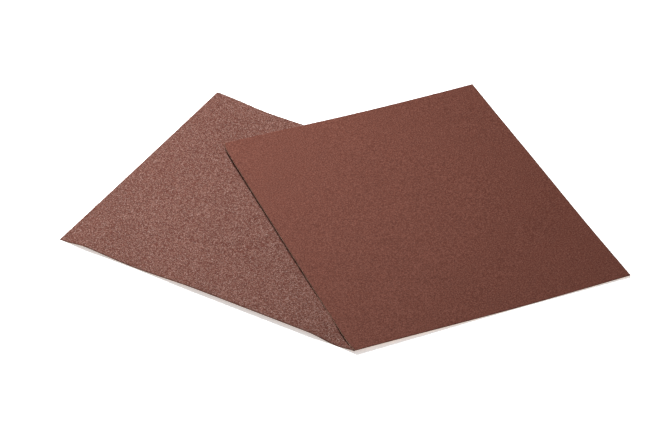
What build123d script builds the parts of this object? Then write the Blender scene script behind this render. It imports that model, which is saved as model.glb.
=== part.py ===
from build123d import *
import os
from math import atan, copysign, degrees, sin

# Two loose sheets of abrasive paper: a fine sheet lies across a coarse one and shares its near
# corner, like two cards fanned on a table. Each sheet is a bonded laminate of four layers: a paper
# backing, a make coat of resin, a layer of abrasive grain, and a size coat of resin over it.
#
# Millimetres, +Z up, the table at Z = 0, and the origin under the middle of the footprint.
# Both sheets are drawn in the coarse sheet's own directions: X along its length, Y across its
# width, from its near left corner. The finished pair is then turned and centred.

# Coarse sheet, as it is seen from above.
COARSE_LENGTH = 267.0
COARSE_WIDTH = 230.0
# Its layers, from the table up.
COARSE_BACKING = 0.30
COARSE_MAKE_COAT = 0.06
COARSE_GRAIN = 0.27
COARSE_SIZE_COAT = 0.05

# Fine sheet, as it is seen from above.
FINE_LENGTH = 280.0
FINE_WIDTH = 230.0
FINE_BACKING = 0.22
FINE_MAKE_COAT = 0.04
FINE_GRAIN = 0.13
FINE_SIZE_COAT = 0.03

# How the coarse sheet lies: on a foot along each end, with its middle arched clear of the table.
ARCH_RISE = 2.2
LEFT_FOOT = 3.0
LEFT_RAMP = 24.0
RIGHT_RAMP = 26.0
RIGHT_FOOT = 12.0

# How the fine sheet lies: level over the arch, then down to the table past the coarse sheet's end.
SHEET_GAP = 0.3
LEVEL_PAST_END = 10.0
DROP_LENGTH = 112.0

# How the pair is fanned. The fine sheet's near left corner lies just past the coarse sheet's near
# right corner.
FINE_TURN = 52.6
CORNER_STEP = 1.0
PAIR_TURN = -30.0

# Length of slab left to trim beyond each edge of the fine sheet.
TRIM = 20.0

# Faces that each bend is divided into, so that a mesh of a coat follows it within the coat.
BEND_FACES = 12


def run(length):
    """A straight, level stretch of a sheet, as (length, rise)."""
    return (length, 0.0)


def ramp(length, rise):
    """A stretch that climbs by rise, level at both ends, as (length, rise)."""
    return (length, rise)


def boundary(stretches, start, height):
    """The line that follows a sheet at a height above its underside, as a list of edges.

    A ramp is two equal arcs that bend opposite ways. The arcs at every height share their centres,
    so the layers keep one thickness all the way.
    """
    point = Vector(*start) + Vector(0, height)
    heading = Vector(1, 0)
    edges = []
    for length, rise in stretches:
        if rise == 0:
            edges.append(Line(point, point + heading * length))
            point = edges[-1] @ 1
            continue
        angle = 2 * atan(rise / length)
        underside_radius = abs(length / (2 * sin(angle)))
        for turn in (angle, -angle):
            radius = underside_radius - copysign(height, turn)
            for _ in range(BEND_FACES):
                edges.append(JernArc(point, heading, radius, degrees(turn) / BEND_FACES))
                point = edges[-1] @ 1
                heading = edges[-1] % 1
        heading = Vector(1, 0)
    return edges


def layer_slab(stretches, start, low, high, near, width):
    """One layer between two heights above the underside, from Y = near over a width."""
    under = boundary(stretches, start, low)
    over = boundary(stretches, start, high)
    ends = [Line(under[0] @ 0, over[0] @ 0), Line(under[-1] @ 1, over[-1] @ 1)]
    section = make_face(under + over + ends)
    placed = Plane.XZ.offset(-near) * section
    return extrude(placed, amount=width, dir=(0, 1, 0), clean=False)


def laminate(names, thicknesses, make_layer):
    """The layers of one sheet, each on the one before, as a dictionary of node names."""
    layers = {}
    low = 0.0
    for name, thickness in zip(names, thicknesses):
        layers[name] = make_layer(low, low + thickness)
        low += thickness
    return layers


def coarse_sheet():
    """Four layers that stand on the table along both ends."""
    arch = COARSE_LENGTH - LEFT_FOOT - LEFT_RAMP - RIGHT_RAMP - RIGHT_FOOT
    stretches = [
        run(LEFT_FOOT),
        ramp(LEFT_RAMP, ARCH_RISE),
        run(arch),
        ramp(RIGHT_RAMP, -ARCH_RISE),
        run(RIGHT_FOOT),
    ]

    def make_layer(low, high):
        return layer_slab(stretches, (0, 0), low, high, 0, COARSE_WIDTH)

    names = [
        "coarse_paper_backing",
        "coarse_make_coat",
        "coarse_abrasive_grain",
        "coarse_size_coat",
    ]
    return laminate(names, COARSE_LAYERS, make_layer)


def fine_outline():
    """The fine sheet's outline, seen from above, as an upright block that trims its layers."""
    corner = Pos(COARSE_LENGTH + CORNER_STEP, 0, 0)
    outline = Rectangle(FINE_WIDTH, FINE_LENGTH, align=(Align.MIN, Align.MIN))
    top = FINE_LEVEL + sum(FINE_LAYERS) + TRIM
    return extrude(corner * Rot(0, 0, FINE_TURN) * Pos(0, 0, -TRIM) * outline, amount=top + TRIM)


def fine_sheet():
    """Four layers, level over the arch and down to the table past the coarse sheet's end."""
    outline = fine_outline()
    box = outline.bounding_box()
    left = box.min.X - TRIM
    level = COARSE_LENGTH + LEVEL_PAST_END - left
    foot = box.max.X + TRIM - left - level - DROP_LENGTH
    stretches = [run(level), ramp(DROP_LENGTH, -FINE_LEVEL), run(foot)]
    near = box.min.Y - TRIM
    width = box.size.Y + 2 * TRIM

    def make_layer(low, high):
        slab = layer_slab(stretches, (left, FINE_LEVEL), low, high, near, width)
        return slab.intersect(outline).solid()

    names = [
        "fine_paper_backing",
        "fine_make_coat",
        "fine_abrasive_grain",
        "fine_size_coat",
    ]
    return laminate(names, FINE_LAYERS, make_layer)


def centred(nodes):
    """The pair turned to its place on the table, with the origin under its middle."""
    turned = {name: Rot(0, 0, PAIR_TURN) * shape for name, shape in nodes.items()}
    box = Compound(list(turned.values())).bounding_box()
    middle = box.center()
    return {name: Pos(-middle.X, -middle.Y, -box.min.Z) * s for name, s in turned.items()}


COARSE_LAYERS = [COARSE_BACKING, COARSE_MAKE_COAT, COARSE_GRAIN, COARSE_SIZE_COAT]
FINE_LAYERS = [FINE_BACKING, FINE_MAKE_COAT, FINE_GRAIN, FINE_SIZE_COAT]

# The fine sheet's underside over the arch.
FINE_LEVEL = ARCH_RISE + sum(COARSE_LAYERS) + SHEET_GAP

os.makedirs("parts", exist_ok=True)
for node, shape in centred({**coarse_sheet(), **fine_sheet()}).items():
    export_step(shape, f"parts/{node}.step")
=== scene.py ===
import math
import random

import bmesh
import bpy
from mathutils import Matrix, Vector, noise


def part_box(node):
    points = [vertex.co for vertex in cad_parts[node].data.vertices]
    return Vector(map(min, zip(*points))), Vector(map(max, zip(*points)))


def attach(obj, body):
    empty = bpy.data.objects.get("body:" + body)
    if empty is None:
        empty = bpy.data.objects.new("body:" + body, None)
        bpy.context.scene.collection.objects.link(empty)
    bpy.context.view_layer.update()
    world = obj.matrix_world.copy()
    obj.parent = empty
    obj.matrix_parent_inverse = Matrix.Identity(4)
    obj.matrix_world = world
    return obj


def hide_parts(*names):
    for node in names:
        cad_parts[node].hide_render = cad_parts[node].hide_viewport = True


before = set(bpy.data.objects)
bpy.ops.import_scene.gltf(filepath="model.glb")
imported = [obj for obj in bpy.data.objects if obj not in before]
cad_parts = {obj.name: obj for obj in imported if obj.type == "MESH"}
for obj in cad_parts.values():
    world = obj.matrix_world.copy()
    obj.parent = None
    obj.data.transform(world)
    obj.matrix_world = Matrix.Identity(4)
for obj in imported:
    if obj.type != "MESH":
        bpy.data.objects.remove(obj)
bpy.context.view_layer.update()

# Two loose sheets of abrasive paper, grain side up, the fine one fanned across the coarse one.
# Each sheet is the laminate that a coating machine lays down: paper, make coat, grain, size coat.
# Every layer is first cut flat in the sheet's own directions, with p along its near edge and q
# away from it, and is then laid: turned into its place and raised by the way the sheet lies.

MM = 0.001

COARSE_TURN = math.radians(-30.0)
FINE_TURN = math.radians(22.6)

# How the coarse sheet lies: its near edge arches off the table with a dip in the arch, its far side
# lies lower, and its far left and near right corners curl up.
ARCH_RISE = 2.9 * MM
ARCH_START = 3.0 * MM
ARCH_RAMP = 24.0 * MM
ARCH_END = 252.0 * MM
ARCH_END_RAMP = 25.0 * MM
ARCH_SHARE_AT_BACK = 0.03
ARCH_FADE = 60.0 * MM
DIP_DEPTH = 2.3 * MM
DIP_AT = 70.0 * MM
DIP_REACH = 60.0 * MM
DIP_FADE = 60.0 * MM
LEFT_CURL = 4.1 * MM
LEFT_CURL_REACH = 58.0 * MM
LEFT_CURL_POWER = 1.3
NEAR_CURL = 1.7 * MM
NEAR_CURL_START = 251.0 * MM
NEAR_CURL_FADE = 45.0 * MM

# How the fine sheet lies: level on the coarse one, down to the table past its end, and a little
# dished, with each corner higher than the edges beside it.
LEVEL = 2.45 * MM
DROP_START = 262.0 * MM
DROP_LENGTH = 100.0 * MM
BEHIND_SAG = 0.9 * MM
BEHIND_START = 200.0 * MM
BEHIND_LENGTH = 80.0 * MM
CORNER_LIFTS = {
    "near_left": 0.35 * MM,
    "near_right": 1.20 * MM,
    "far_right": 1.80 * MM,
    "far_left": 1.30 * MM,
}
CORNER_POWER = 3

# Its left edge bellies out a little between two worn corners.
LEFT_BULGE = 2.1 * MM
BULGE_POWER = 24

# Meshes: the width of a cell, how many top cells of a grit skin make one below, the smallest
# height that tells one level from the next, and how far in from a coat's edge its rim reaches.
FILM_CELL = 2.5 * MM
GRIT_CELL = 0.84 * MM
WIDE_CELLS = 8
HAIR = 0.01 * MM
RIM_REACH = 0.05 * MM

# The rough top of a grit skin swells in clumps as well as from point to point.
CLUMPS_PER_METRE = 600.0
CLUMP_SHARE = 0.6

# Shape of a grain: how far it is drawn out each way, tilted, and chipped off the round.
GRAIN_LONG = (0.8, 1.35)
GRAIN_BROAD = (0.7, 1.0)
GRAIN_TALL = (0.7, 1.15)
GRAIN_TILT = 0.5
GRAIN_CHIP = 0.35

# How many different patches of grain a sheet repeats.
SWATCHES = 4

SKIN_SEED = 11
FILM_SEED = 5
GRAIN_SEED = 29

TABLE_GLOW = 0.42
WORLD_LIGHT = 0.34


def smooth(x):
    x = min(max(x, 0.0), 1.0)
    return x * x * (3.0 - 2.0 * x)


class Sheet:
    """A rectangle turned in plan, worked out from the upright box of its paper."""

    def __init__(self, paper_node, turn):
        low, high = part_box(paper_node)
        cos, sin = math.cos(turn), abs(math.sin(turn))
        across, deep = high.x - low.x, high.y - low.y
        square = cos * cos - sin * sin
        self.length = (across * cos - deep * sin) / square
        self.width = (deep * cos - across * sin) / square
        corner_x = low.x + (self.width * sin if turn > 0 else 0.0)
        corner_y = low.y + (self.length * sin if turn < 0 else 0.0)
        self.corner = Vector((corner_x, corner_y, 0.0))
        self.along = Vector((cos, math.sin(turn), 0.0))
        self.back = Vector((-math.sin(turn), cos, 0.0))
        self.bulge = 0.0

    def place(self, p, q):
        return self.corner + self.along * p + self.back * q

    def find(self, point):
        offset = point - self.corner
        return offset.dot(self.along), offset.dot(self.back)


COARSE = Sheet("coarse_paper_backing", COARSE_TURN)
FINE = Sheet("fine_paper_backing", FINE_TURN)


def coarse_lie(p, q):
    """Height of the coarse sheet's underside."""
    arch = smooth((p - ARCH_START) / ARCH_RAMP)
    arch -= smooth((p - ARCH_END + ARCH_END_RAMP) / ARCH_END_RAMP)
    arch *= ARCH_RISE * (1.0 - (1.0 - ARCH_SHARE_AT_BACK) * smooth(q / ARCH_FADE))
    dip = DIP_DEPTH * smooth(1.0 - abs(p - DIP_AT) / DIP_REACH) * smooth(1.0 - q / DIP_FADE)
    left = LEFT_CURL * max(q / COARSE.width, 0.0) ** LEFT_CURL_POWER
    left *= smooth(1.0 - p / LEFT_CURL_REACH)
    near = smooth((p - NEAR_CURL_START) / (COARSE.length - NEAR_CURL_START))
    near *= NEAR_CURL * smooth(1.0 - q / NEAR_CURL_FADE)
    return max(arch - dip + left + near, 0.0)


def fine_lie(p, q):
    """Height of the fine sheet's underside."""
    past, behind = COARSE.find(FINE.place(p, q))
    height = LEVEL - BEHIND_SAG * smooth((behind - BEHIND_START) / BEHIND_LENGTH)
    height *= 1.0 - smooth((past - DROP_START) / DROP_LENGTH)
    x, y = p / FINE.length, q / FINE.width
    shares = {
        "near_left": (1 - x) * (1 - y),
        "near_right": x * (1 - y),
        "far_right": x * y,
        "far_left": (1 - x) * y,
    }
    for corner, lift in CORNER_LIFTS.items():
        height += lift * max(shares[corner], 0.0) ** CORNER_POWER
    return max(height, 0.0)


COARSE.lie = coarse_lie
FINE.lie = fine_lie
FINE.bulge = LEFT_BULGE


# --- Meshes -----------------------------------------------------------------------------------

def finished(bm, name, material, body, node, smooth_faces=True):
    """Turns a bmesh into a piece that rides on its sheet and stands for its CAD layer."""
    mesh = bpy.data.meshes.new(name)
    bm.to_mesh(mesh)
    bm.free()
    mesh.materials.append(material)
    mesh.polygons.foreach_set("use_smooth", [smooth_faces] * len(mesh.polygons))
    piece = bpy.data.objects.new(name, mesh)
    bpy.context.scene.collection.objects.link(piece)
    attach(piece, body)
    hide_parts(node)
    return piece


def lay(bm, sheet):
    """Moves a flat layer to where its sheet lies."""
    for vertex in bm.verts:
        p, q, height = vertex.co
        belly = 1.0 - min(abs(2.0 * q / sheet.width - 1.0), 1.0) ** BULGE_POWER
        p -= sheet.bulge * belly * (1.0 - p / sheet.length)
        vertex.co = sheet.place(p, q) + Vector((0.0, 0.0, height + sheet.lie(p, q)))


def flat_grid(sheet, columns, rows, setback, height):
    """A flat grid inside the sheet's outline, drawn back from its edges by setback."""
    bm = bmesh.new()
    bmesh.ops.create_grid(bm, x_segments=columns, y_segments=rows, size=0.5)
    stretch = Vector((sheet.length - 2 * setback, sheet.width - 2 * setback, 1.0))
    bmesh.ops.scale(bm, vec=stretch, verts=bm.verts)
    middle = Vector((sheet.length / 2, sheet.width / 2, height))
    bmesh.ops.translate(bm, vec=middle, verts=bm.verts)
    return bm


def fray(vertices, sheet, setback, ragged, draw):
    """Draws the rim of a coat back unevenly, as the knife chips it."""
    reach = setback + RIM_REACH
    for vertex in vertices:
        pull = ragged * draw.random()
        p, q = vertex.co.x, vertex.co.y
        if p < reach or p > sheet.length - reach:
            vertex.co.x += math.copysign(pull, sheet.length / 2 - p)
        if q < reach or q > sheet.width - reach:
            vertex.co.y += math.copysign(pull, sheet.width / 2 - q)


def film(sheet, low, high, setback=0.0, ragged=0.0):
    """A plain layer of even thickness."""
    columns, rows = round(sheet.length / FILM_CELL), round(sheet.width / FILM_CELL)
    bm = flat_grid(sheet, columns, rows, setback, low)
    raised = bmesh.ops.extrude_face_region(bm, geom=bm.faces[:], use_keep_orig=True)
    upper = [part for part in raised["geom"] if isinstance(part, bmesh.types.BMVert)]
    bmesh.ops.translate(bm, vec=(0.0, 0.0, high - low), verts=upper)
    bmesh.ops.recalc_face_normals(bm, faces=bm.faces)
    if ragged:
        fray(bm.verts, sheet, setback, ragged, random.Random(FILM_SEED))
    lay(bm, sheet)
    return bm


def add_grid(bm, sheet, columns, rows, setback, height):
    """Adds a second flat grid to a layer."""
    grid = flat_grid(sheet, columns, rows, setback, height)
    mesh = bpy.data.meshes.new("grid")
    grid.to_mesh(mesh)
    grid.free()
    bm.from_mesh(mesh)
    bpy.data.meshes.remove(mesh)


def close_wall(bm, low, high):
    """Joins the upper grid's rim to the lower grid's."""
    middle = (low + high) / 2
    rim = [edge for edge in bm.edges if edge.is_boundary and edge.verts[0].co.z > middle]
    wall = bmesh.ops.extrude_edge_only(bm, edges=rim)
    foot = [part for part in wall["geom"] if isinstance(part, bmesh.types.BMVert)]
    bmesh.ops.translate(bm, vec=(0.0, 0.0, low - high), verts=foot)
    lower = [vertex for vertex in bm.verts if vertex.co.z < high - HAIR]
    bmesh.ops.remove_doubles(bm, verts=lower, dist=2 * HAIR)
    bmesh.ops.recalc_face_normals(bm, faces=bm.faces)


def roughen(bm, level, relief, draw):
    """Raises and lowers the top of a coat, point by point and in clumps."""
    for vertex in bm.verts:
        if vertex.co.z > level - HAIR:
            clump = noise.noise(vertex.co * CLUMPS_PER_METRE)
            vertex.co.z += relief * (draw.uniform(-1.0, 1.0) + CLUMP_SHARE * clump)


def grit_skin(sheet, low, high, setback, ragged, relief):
    """The size coat as it dries over the grain: rough above, and level below in wider cells."""
    columns = round(sheet.length / GRIT_CELL / WIDE_CELLS)
    rows = round(sheet.width / GRIT_CELL / WIDE_CELLS)
    bm = flat_grid(sheet, columns, rows, setback, low)
    bmesh.ops.reverse_faces(bm, faces=bm.faces)
    rim = [edge for edge in bm.edges if edge.is_boundary]
    bmesh.ops.subdivide_edges(bm, edges=rim, cuts=WIDE_CELLS - 1)
    add_grid(bm, sheet, columns * WIDE_CELLS, rows * WIDE_CELLS, setback, high)
    close_wall(bm, low, high)
    draw = random.Random(SKIN_SEED)
    fray(bm.verts, sheet, setback, ragged, draw)
    roughen(bm, high, relief, draw)
    lay(bm, sheet)
    return bm


def grain_corner(number, corners, draw):
    """The way from a grain's middle to one of its corners, which are spread evenly and then chipped."""
    turn = math.pi * (3.0 - math.sqrt(5.0)) * number
    rise = 1.0 - 2.0 * (number + 0.5) / corners
    out = math.sqrt(1.0 - rise * rise)
    direction = Vector((out * math.cos(turn), out * math.sin(turn), rise))
    direction += Vector((draw.uniform(-GRAIN_CHIP, GRAIN_CHIP) for _ in range(3)))
    direction.normalize()
    return direction


def grain_swatch(width, depth, count, sizes, corners, draw):
    """A patch of separate angular grains, each the hull of a few points."""
    bm = bmesh.new()
    for _ in range(count):
        centre = Vector((draw.uniform(0, width), draw.uniform(0, depth), 0.0))
        half = draw.triangular(sizes[0], sizes[1], sizes[0]) / 2
        stretch = Vector([draw.uniform(*limits) for limits in (GRAIN_LONG, GRAIN_BROAD, GRAIN_TALL)])
        stretch *= half
        spin = Matrix.Rotation(draw.uniform(0, 2 * math.pi), 3, "Z")
        spin = spin @ Matrix.Rotation(draw.uniform(-GRAIN_TILT, GRAIN_TILT), 3, "X")
        points = []
        for number in range(corners):
            direction = grain_corner(number, corners, draw)
            points.append(bm.verts.new(centre + spin @ (direction * stretch)))
        bmesh.ops.convex_hull(bm, input=points)
    mesh = bpy.data.meshes.new("grain_swatch")
    bm.to_mesh(mesh)
    bm.free()
    return mesh


def grain_strip(sheet, swatches, columns, rows, strip, margin, level, draw):
    """One lengthwise strip of a sheet's grain: swatches side by side, about half turned round."""
    bm = bmesh.new()
    wide = (sheet.length - 2 * margin) / columns
    deep = (sheet.width - 2 * margin) / rows
    half_turn = Matrix.Translation((wide, deep, 0.0)) @ Matrix.Rotation(math.pi, 4, "Z")
    for row in strip:
        for column in range(columns):
            start = len(bm.verts)
            bm.from_mesh(draw.choice(swatches))
            bm.verts.ensure_lookup_table()
            new = bm.verts[start:]
            if draw.random() < 0.5:
                bmesh.ops.transform(bm, matrix=half_turn, verts=new)
            offset = (margin + column * wide, margin + row * deep, level)
            bmesh.ops.translate(bm, vec=offset, verts=new)
    bmesh.ops.recalc_face_normals(bm, faces=bm.faces)
    lay(bm, sheet)
    return bm


# --- Shader node groups ------------------------------------------------------------------------

# A grain gets a painted glint if its cell's own number, from 0 to 1, is above this.
GLINT_LIMIT = 0.93

# Fibres are drawn out along the sheet, and the paper is cloudy at a wider scale.
FIBRE_SQUEEZE = (0.14, 1.0, 1.0)
PAPER_CLOUDS_PER_METRE = 120.0


def new_group(name, inputs, outputs):
    """An empty node group with its ends: inputs are (name, kind, default)."""
    group = bpy.data.node_groups.new(name, "ShaderNodeTree")
    for label, kind, default in inputs:
        socket = group.interface.new_socket(label, in_out="INPUT", socket_type=f"NodeSocket{kind}")
        if default is not None:
            socket.default_value = default
    for label, kind in outputs:
        group.interface.new_socket(label, in_out="OUTPUT", socket_type=f"NodeSocket{kind}")
    return group, group.nodes.new("NodeGroupInput"), group.nodes.new("NodeGroupOutput")


def maths(tree, operation, first, second=0.0, clamp=False):
    """A Math node fed by sockets or plain numbers."""
    node = tree.nodes.new("ShaderNodeMath")
    node.operation = operation
    node.use_clamp = clamp
    for index, value in enumerate((first, second)):
        if isinstance(value, (int, float)):
            node.inputs[index].default_value = value
        else:
            tree.links.new(value, node.inputs[index])
    return node.outputs[0]


def noise_of(tree, vector, scale, detail=2.0, roughness=0.5):
    """A Noise Texture's value; scale is a socket or a plain number."""
    node = tree.nodes.new("ShaderNodeTexNoise")
    node.inputs["Detail"].default_value = detail
    node.inputs["Roughness"].default_value = roughness
    tree.links.new(vector, node.inputs["Vector"])
    if isinstance(scale, (int, float)):
        node.inputs["Scale"].default_value = scale
    else:
        tree.links.new(scale, node.inputs["Scale"])
    return node.outputs["Fac"]


def make_grain_cells():
    """One cell for each grain: its own tone, and a rounded height that falls to a gap round it."""
    group, ends_in, ends_out = new_group(
        "grain_cells",
        [("Vector", "Vector", None), ("Cells per metre", "Float", 3000.0)],
        [("Tone", "Float"), ("Glint", "Float"), ("Height", "Float")],
    )
    cells = group.nodes.new("ShaderNodeTexVoronoi")
    cells.feature = "F1"
    group.links.new(ends_in.outputs["Vector"], cells.inputs["Vector"])
    group.links.new(ends_in.outputs["Cells per metre"], cells.inputs["Scale"])
    parts = group.nodes.new("ShaderNodeSeparateColor")
    group.links.new(cells.outputs["Color"], parts.inputs["Color"])
    height = maths(group, "SUBTRACT", 1.0, cells.outputs["Distance"], clamp=True)
    # Glint: a mask of the few cells that get a painted glint mixed into their colour.
    glint = maths(group, "GREATER_THAN", parts.outputs["Green"], GLINT_LIMIT)
    group.links.new(parts.outputs["Red"], ends_out.inputs["Tone"])
    group.links.new(glint, ends_out.inputs["Glint"])
    group.links.new(height, ends_out.inputs["Height"])
    return group


def make_coating_mottle():
    """Uneven coating: clumps a little wider than a grain, and slow clouds across the web."""
    group, ends_in, ends_out = new_group(
        "coating_mottle",
        [("Vector", "Vector", None), ("Clumps per metre", "Float", 800.0),
         ("Clouds per metre", "Float", 30.0)],
        [("Clump", "Float"), ("Cloud", "Float")],
    )
    vector = ends_in.outputs["Vector"]
    clump = noise_of(group, vector, ends_in.outputs["Clumps per metre"], 3.0, 0.65)
    cloud = noise_of(group, vector, ends_in.outputs["Clouds per metre"], 2.0, 0.5)
    group.links.new(clump, ends_out.inputs["Clump"])
    group.links.new(cloud, ends_out.inputs["Cloud"])
    return group


def make_paper_fibre():
    """Kraft paper: short fibres that run mostly one way, and a cloudy look-through."""
    group, ends_in, ends_out = new_group(
        "paper_fibre",
        [("Vector", "Vector", None), ("Fibres per metre", "Float", 900.0)],
        [("Fibre", "Float"), ("Cloud", "Float")],
    )
    squeeze = group.nodes.new("ShaderNodeVectorMath")
    squeeze.operation = "MULTIPLY"
    squeeze.inputs[1].default_value = FIBRE_SQUEEZE
    group.links.new(ends_in.outputs["Vector"], squeeze.inputs[0])
    fibre = noise_of(group, squeeze.outputs[0], ends_in.outputs["Fibres per metre"], 4.0, 0.6)
    cloud = noise_of(group, ends_in.outputs["Vector"], PAPER_CLOUDS_PER_METRE, 3.0, 0.6)
    group.links.new(fibre, ends_out.inputs["Fibre"])
    group.links.new(cloud, ends_out.inputs["Cloud"])
    return group


GRAIN_CELLS = make_grain_cells()
COATING_MOTTLE = make_coating_mottle()
PAPER_FIBRE = make_paper_fibre()


# --- Materials ---------------------------------------------------------------------------------

# Tones run from the gaps between clumps to their tops.
COARSE_TONES = [
    (0.36, (0.074, 0.021, 0.014)),
    (0.50, (0.107, 0.037, 0.026)),
    (0.64, (0.172, 0.086, 0.068)),
]
FINE_TONES = [
    (0.36, (0.072, 0.019, 0.012)),
    (0.50, (0.104, 0.031, 0.020)),
    (0.64, (0.148, 0.053, 0.038)),
]
RESIN_TONES = [
    (0.3, (0.060, 0.018, 0.010)),
    (0.7, (0.095, 0.030, 0.018)),
]


class Finish:
    """A material with one Principled BSDF, and short ways to build the nodes that feed it."""

    def __init__(self, name, roughness, turn=0.0, specular=0.5, colour=None):
        self.material = bpy.data.materials.new(name)
        self.material.use_nodes = True
        self.tree = self.material.node_tree
        self.shader = self.tree.nodes["Principled BSDF"]
        self.shader.inputs["Roughness"].default_value = roughness
        self.shader.inputs["Specular IOR Level"].default_value = specular
        if colour:
            self.shader.inputs["Base Color"].default_value = (*colour, 1.0)
        coordinates = self.tree.nodes.new("ShaderNodeTexCoord")
        mapping = self.tree.nodes.new("ShaderNodeMapping")
        mapping.inputs["Rotation"].default_value = (0.0, 0.0, -turn)
        self.tree.links.new(coordinates.outputs["Object"], mapping.inputs["Vector"])
        self.vector = mapping.outputs["Vector"]

    def use(self, group, **values):
        node = self.tree.nodes.new("ShaderNodeGroup")
        node.node_tree = group
        self.tree.links.new(self.vector, node.inputs["Vector"])
        for label, value in values.items():
            node.inputs[label.replace("_", " ")].default_value = value
        return node.outputs

    def ramp(self, value, stops):
        """A colour ramp through (position, colour) stops."""
        node = self.tree.nodes.new("ShaderNodeValToRGB")
        elements = node.color_ramp.elements
        while len(elements) < len(stops):
            elements.new(0.5)
        for element, (position, colour) in zip(elements, stops):
            element.position = position
            element.color = (*colour, 1.0)
        self.tree.links.new(value, node.inputs["Fac"])
        return node.outputs["Color"]

    def scaled(self, colour, value, low, high):
        """The colour made darker or lighter as value goes from 0 to 1."""
        node = self.tree.nodes.new("ShaderNodeVectorMath")
        node.operation = "SCALE"
        self.tree.links.new(colour, node.inputs[0])
        self.tree.links.new(self.spread(value, low, high), node.inputs["Scale"])
        return node.outputs[0]

    def tinted(self, colour, share, tint):
        """The colour with a share of a plain tint mixed in."""
        node = self.tree.nodes.new("ShaderNodeMix")
        node.data_type = "RGBA"
        self.tree.links.new(share, node.inputs[0])
        self.tree.links.new(colour, node.inputs[6])
        node.inputs[7].default_value = (*tint, 1.0)
        return node.outputs[2]

    def spread(self, value, low, high):
        """A value of 0 to 1 spread between low and high."""
        spread = self.tree.nodes.new("ShaderNodeMapRange")
        spread.inputs["To Min"].default_value = low
        spread.inputs["To Max"].default_value = high
        self.tree.links.new(value, spread.inputs["Value"])
        return spread.outputs[0]

    def bump(self, height, distance, strength=1.0):
        node = self.tree.nodes.new("ShaderNodeBump")
        node.inputs["Distance"].default_value = distance
        node.inputs["Strength"].default_value = strength
        self.tree.links.new(height, node.inputs["Height"])
        self.tree.links.new(node.outputs["Normal"], self.shader.inputs["Normal"])

    def feed(self, label, value):
        self.tree.links.new(value, self.shader.inputs[label])


def grit_finish(name, turn, tones, clumps, grains, glint_share, grain_spread, cloud_spread, glint, bump):
    """Resin-coated grit: grains of their own tone, in clumps, under a thin hard size coat."""
    finish = Finish(name, 0.6, turn, specular=0.06)
    cells = finish.use(GRAIN_CELLS, Cells_per_metre=grains)
    mottle = finish.use(COATING_MOTTLE, Clumps_per_metre=clumps)
    colour = finish.ramp(mottle["Clump"], tones)
    colour = finish.scaled(colour, cells["Tone"], 1.0 - grain_spread, 1.0 + grain_spread)
    colour = finish.scaled(colour, mottle["Cloud"], 1.0 - cloud_spread, 1.0 + cloud_spread)
    # Painted glint: a light tint mixed into the base colour of a few grains, standing in for their
    # shine.
    share = maths(finish.tree, "MULTIPLY", cells["Glint"], glint_share)
    colour = finish.tinted(colour, share, glint)
    finish.feed("Base Color", colour)
    finish.feed("Roughness", finish.spread(cells["Tone"], 0.5, 0.8))
    finish.bump(cells["Height"], bump)
    return finish.material


def grain_finish(name, turn, tones, spots):
    """Crushed mineral: each grain takes its own shade from dark red-brown to glassy tan."""
    finish = Finish(name, 0.4, turn, specular=0.12)
    mottle = finish.use(COATING_MOTTLE, Clumps_per_metre=spots)
    colour = finish.ramp(mottle["Clump"], tones)
    finish.feed("Base Color", colour)
    finish.feed("Roughness", finish.spread(mottle["Clump"], 0.3, 0.65))
    return finish.material


def paper_finish(name, turn, dark, light):
    """Brown kraft paper, matt and fibrous."""
    finish = Finish(name, 0.85, turn, specular=0.3)
    fibre = finish.use(PAPER_FIBRE)
    colour = finish.ramp(fibre["Fibre"], [(0.3, dark), (0.7, light)])
    colour = finish.scaled(colour, fibre["Cloud"], 0.9, 1.1)
    finish.feed("Base Color", colour)
    finish.bump(fibre["Fibre"], 0.03 * MM, 0.7)
    return finish.material


def resin_finish(name, turn):
    """Cured red-brown resin, smoother than the grit in it."""
    finish = Finish(name, 0.35, turn)
    mottle = finish.use(COATING_MOTTLE, Clumps_per_metre=400.0)
    colour = finish.ramp(mottle["Clump"], RESIN_TONES)
    finish.feed("Base Color", colour)
    finish.feed("Roughness", finish.spread(mottle["Clump"], 0.3, 0.5))
    return finish.material


def table_finish():
    """White acrylic, lit a little from below, as a product table is."""
    finish = Finish("white_table", 0.9, colour=(0.9, 0.9, 0.9))
    finish.shader.inputs["Emission Color"].default_value = (1.0, 1.0, 1.0, 1.0)
    finish.shader.inputs["Emission Strength"].default_value = TABLE_GLOW
    return finish.material


# --- The two sheets ----------------------------------------------------------------------------

def heights(layers):
    """The (low, high) of each layer above the paper's underside, from each one's thickness."""
    levels, low = {}, 0.0
    for layer, thickness in layers:
        levels[layer] = (low, low + thickness)
        low += thickness
    return levels


COARSE_LEVELS = heights([
    ("paper", 0.30 * MM),
    ("make", 0.06 * MM),
    ("grain", 0.27 * MM),
    ("size", 0.05 * MM),
])
FINE_LEVELS = heights([
    ("paper", 0.22 * MM),
    ("make", 0.04 * MM),
    ("grain", 0.13 * MM),
    ("size", 0.03 * MM),
])


def scatter_grain(key, sheet, material, grain, level, margin):
    """The grains that stand out of the coat, in lengthwise strips."""
    draw = random.Random(GRAIN_SEED)
    columns, rows, strips = grain["columns"], grain["rows"], grain["strips"]
    wide = (sheet.length - 2 * margin) / columns
    deep = (sheet.width - 2 * margin) / rows
    swatches = []
    for _ in range(SWATCHES):
        swatch = grain_swatch(wide, deep, grain["count"], grain["sizes"], grain["corners"], draw)
        swatches.append(swatch)
    per_strip = rows // strips
    for number in range(strips):
        strip = range(number * per_strip, (number + 1) * per_strip)
        bm = grain_strip(sheet, swatches, columns, rows, strip, margin, level, draw)
        name = f"{key}_grain_strip_{number + 1}"
        node = f"{key}_abrasive_grain"
        finished(bm, name, material, f"{key}_sheet", node, smooth_faces=False)
    for swatch in swatches:
        bpy.data.meshes.remove(swatch)


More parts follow.
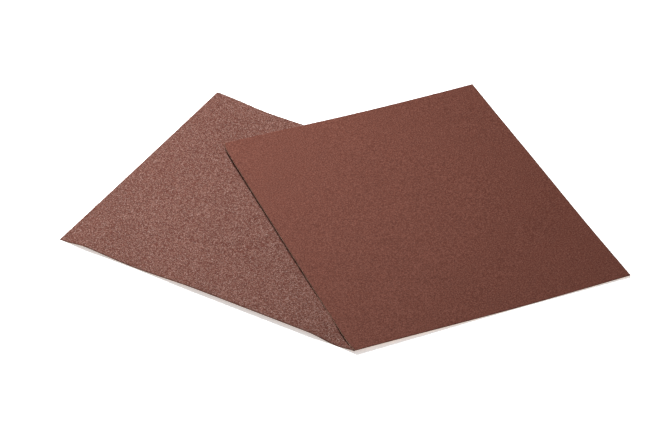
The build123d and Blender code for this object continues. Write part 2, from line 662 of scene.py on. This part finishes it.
def build_sheet(key, sheet, levels, materials, grain, relief, setback, ragged):
    """All the layers of one sheet. key is coarse or fine, which starts every name."""
    body = f"{key}_sheet"
    bm = film(sheet, *levels["paper"])
    node = f"{key}_paper_backing"
    paper = finished(bm, f"{key}_backing", materials["paper"], body, node)

    bm = film(sheet, *levels["make"], setback=setback / 2, ragged=ragged / 2)
    finished(bm, f"{key}_make_film", materials["resin"], body, f"{key}_make_coat")

    top = levels["grain"][1]
    bm = grit_skin(sheet, levels["make"][1], top, setback, ragged, relief)
    node = f"{key}_size_coat"
    finished(bm, f"{key}_grit_skin", materials["skin"], body, node)

    margin = setback + ragged + grain["sizes"][1] / 2
    scatter_grain(key, sheet, materials["grain"], grain, top, margin)


coarse_materials = {
    "paper": paper_finish(
        "coarse_kraft_paper", COARSE_TURN,
        dark=(0.22, 0.12, 0.075), light=(0.34, 0.20, 0.13),
    ),
    "resin": resin_finish("coarse_make_resin", COARSE_TURN),
    # glint is the colour of the painted glint mixed into a few grains.
    "skin": grit_finish(
        "coarse_grit", COARSE_TURN, COARSE_TONES, clumps=700.0, grains=3000.0, glint_share=0.6,
        grain_spread=0.27, cloud_spread=0.08, glint=(0.46, 0.34, 0.30), bump=0.12 * MM,
    ),
    "grain": grain_finish("coarse_mineral", COARSE_TURN, COARSE_TONES, spots=500.0),
}
fine_materials = {
    "paper": paper_finish(
        "fine_kraft_paper", FINE_TURN,
        dark=(0.40, 0.25, 0.17), light=(0.54, 0.35, 0.25),
    ),
    "resin": resin_finish("fine_make_resin", FINE_TURN),
    # glint is the colour of the painted glint mixed into a few grains.
    "skin": grit_finish(
        "fine_grit", FINE_TURN, FINE_TONES, clumps=900.0, grains=6500.0, glint_share=0.4,
        grain_spread=0.30, cloud_spread=0.05, glint=(0.24, 0.12, 0.09), bump=0.06 * MM,
    ),
    "grain": grain_finish("fine_mineral", FINE_TURN, FINE_TONES, spots=900.0),
}

build_sheet(
    "coarse", COARSE, COARSE_LEVELS, coarse_materials,
    grain={"sizes": (0.32 * MM, 0.72 * MM), "corners": 7, "count": 200,
           "columns": 16, "rows": 15, "strips": 3},
    relief=0.13 * MM, setback=0.12 * MM, ragged=0.30 * MM,
)
build_sheet(
    "fine", FINE, FINE_LEVELS, fine_materials,
    grain={"sizes": (0.20 * MM, 0.36 * MM), "corners": 6, "count": 200,
           "columns": 15, "rows": 18, "strips": 3},
    relief=0.05 * MM, setback=0.08 * MM, ragged=0.14 * MM,
)


# --- Floor, light and camera -------------------------------------------------------------------

def make_floor():
    half_width = 8.0
    bm = bmesh.new()
    bmesh.ops.create_grid(bm, x_segments=1, y_segments=1, size=half_width)
    mesh = bpy.data.meshes.new("table_top")
    bm.to_mesh(mesh)
    bm.free()
    mesh.materials.append(table_finish())
    floor = bpy.data.objects.new("table_top", mesh)
    bpy.context.scene.collection.objects.link(floor)


def soft_light(name, place, target, size, power, spread=180.0):
    """A square softbox aimed at a point; a smaller spread, in degrees, keeps its light narrower."""
    light = bpy.data.lights.new(name, "AREA")
    light.shape = "SQUARE"
    light.size = size
    light.energy = power
    light.spread = math.radians(spread)
    lamp = bpy.data.objects.new(name, light)
    lamp.location = place
    aim = Vector(target) - Vector(place)
    lamp.rotation_euler = aim.to_track_quat("-Z", "Y").to_euler()
    bpy.context.scene.collection.objects.link(lamp)


def light_studio():
    world = bpy.data.worlds.new("studio")
    world.use_nodes = True
    background = world.node_tree.nodes["Background"]
    background.inputs["Color"].default_value = (1.0, 1.0, 1.0, 1.0)
    background.inputs["Strength"].default_value = WORLD_LIGHT
    bpy.context.scene.world = world
    soft_light("back_light", (-0.55, 1.5, 1.6), (-0.15, 0.1, 0.0), 0.9, 10.0)
    soft_light("left_light", (-0.28, 0.70, 1.12), (-0.24, 0.05, 0.0), 0.5, 4.6, spread=61.0)


def set_camera():
    data = bpy.data.cameras.new("camera")
    data.lens = 105.70
    data.sensor_width = 36.0
    data.clip_start = 0.05
    data.clip_end = 50.0
    camera = bpy.data.objects.new("camera", data)
    looking_down = 38.12
    camera.location = (-0.00524, -1.25032, 0.9668)
    camera.rotation_euler = (math.radians(90.0 - looking_down), 0.0, 0.0)
    bpy.context.scene.collection.objects.link(camera)
    bpy.context.scene.camera = camera


make_floor()
light_studio()
set_camera()
bpy.context.scene.view_settings.view_transform = "Standard"
